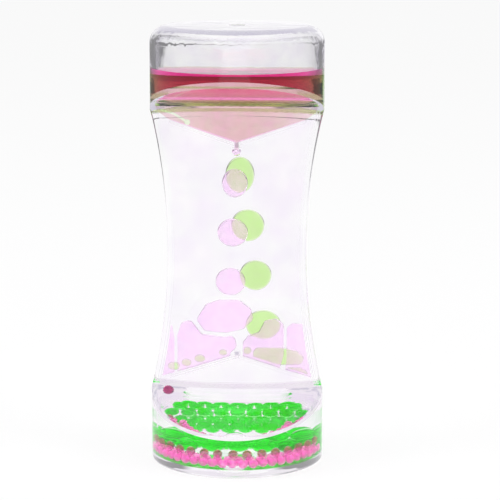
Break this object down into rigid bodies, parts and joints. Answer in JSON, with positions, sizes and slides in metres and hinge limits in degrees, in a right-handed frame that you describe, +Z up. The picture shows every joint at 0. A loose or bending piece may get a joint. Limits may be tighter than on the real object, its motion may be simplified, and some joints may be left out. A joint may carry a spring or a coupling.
{
  "type": "liquid motion timer",
  "caption": "Clear timer with round ends and a thin waist, in which pink and green drops fall through oil in separate front and rear chambers.",
  "frame": {"origin": "centre of the foot, where the timer stands", "axes": "+Z up along the timer, +X across the flat waist to the right, -Y towards the front chamber"},
  "size_m": [0.055, 0.055, 0.139],
  "materials": {
    "clear_plastic": "clear moulded plastic, polished",
    "clear_insert": "clear moulded sheet and strips inside the body",
    "pink_liquid": "clear dyed liquid, pale where thin and deep magenta where thick",
    "green_liquid": "clear dyed liquid, pale where thin and deep green where thick",
    "clear_oil": "clear colourless oil"
  },
  "bodies": {
    "housing": {"outer_shell": "clear_plastic", "base_plate": "clear_plastic", "fill_plug_front": "clear_plastic", "fill_plug_rear": "clear_plastic", "divider_plate": "clear_insert", "upper_funnel_front": "clear_insert", "upper_funnel_rear": "clear_insert", "lower_funnel_front": "clear_insert", "lower_funnel_rear": "clear_insert", "pink_reservoir": "pink_liquid", "pink_pendant_drop": "pink_liquid", "pink_pool_blobs": "pink_liquid", "pink_settled_beads": "pink_liquid", "green_reservoir": "green_liquid", "green_pool_blobs": "green_liquid", "green_settled_beads": "green_liquid", "clear_oil_front": "clear_oil", "clear_oil_rear": "clear_oil"},
    "pink_fall_1": {"pink_drop_1": "pink_liquid"},
    "pink_fall_2": {"pink_drop_2": "pink_liquid"},
    "pink_fall_3": {"pink_drop_3": "pink_liquid"},
    "green_fall_1": {"green_drop_1": "green_liquid"},
    "green_fall_2": {"green_drop_2": "green_liquid"},
    "green_fall_3": {"green_drop_3": "green_liquid"},
    "green_fall_4": {"green_drop_4": "green_liquid"},
    "pink_port_fall": {"pink_port_drop": "pink_liquid"}
  },
  "joints": [
    {"name": "pink_drop_1_fall", "type": "slide", "parent": "housing", "child": "pink_fall_1", "axis": [-0.0436, 0, -0.999], "range_m": [-0.0036, 0.0011]},
    {"name": "pink_drop_2_fall", "type": "slide", "parent": "housing", "child": "pink_fall_2", "axis": [-0.0436, 0, -0.999], "range_m": [-0.0036, 0.0011]},
    {"name": "pink_drop_3_fall", "type": "slide", "parent": "housing", "child": "pink_fall_3", "axis": [-0.0436, 0, -0.999], "range_m": [-0.0036, 0.0011]},
    {"name": "green_drop_1_fall", "type": "slide", "parent": "housing", "child": "green_fall_1", "axis": [0.1478, 0, -0.989], "range_m": [-0.0022, 0.0021]},
    {"name": "green_drop_2_fall", "type": "slide", "parent": "housing", "child": "green_fall_2", "axis": [0.1478, 0, -0.989], "range_m": [-0.0022, 0.0021]},
    {"name": "green_drop_3_fall", "type": "slide", "parent": "housing", "child": "green_fall_3", "axis": [0.1478, 0, -0.989], "range_m": [-0.0022, 0.0021]},
    {"name": "green_drop_4_fall", "type": "slide", "parent": "housing", "child": "green_fall_4", "axis": [0.1478, 0, -0.989], "range_m": [-0.0022, 0.0021]},
    {"name": "pink_port_drop_fall", "type": "slide", "parent": "housing", "child": "pink_port_fall", "axis": [0, 0, -1], "range_m": [0, 0.006]}
  ],
  "couplings": [
    {"joint": "pink_drop_2_fall", "follows": "pink_drop_1_fall", "ratio": 1},
    {"joint": "pink_drop_3_fall", "follows": "pink_drop_1_fall", "ratio": 1},
    {"joint": "green_drop_2_fall", "follows": "green_drop_1_fall", "ratio": 1},
    {"joint": "green_drop_3_fall", "follows": "green_drop_1_fall", "ratio": 1},
    {"joint": "green_drop_4_fall", "follows": "green_drop_1_fall", "ratio": 1}
  ]
}
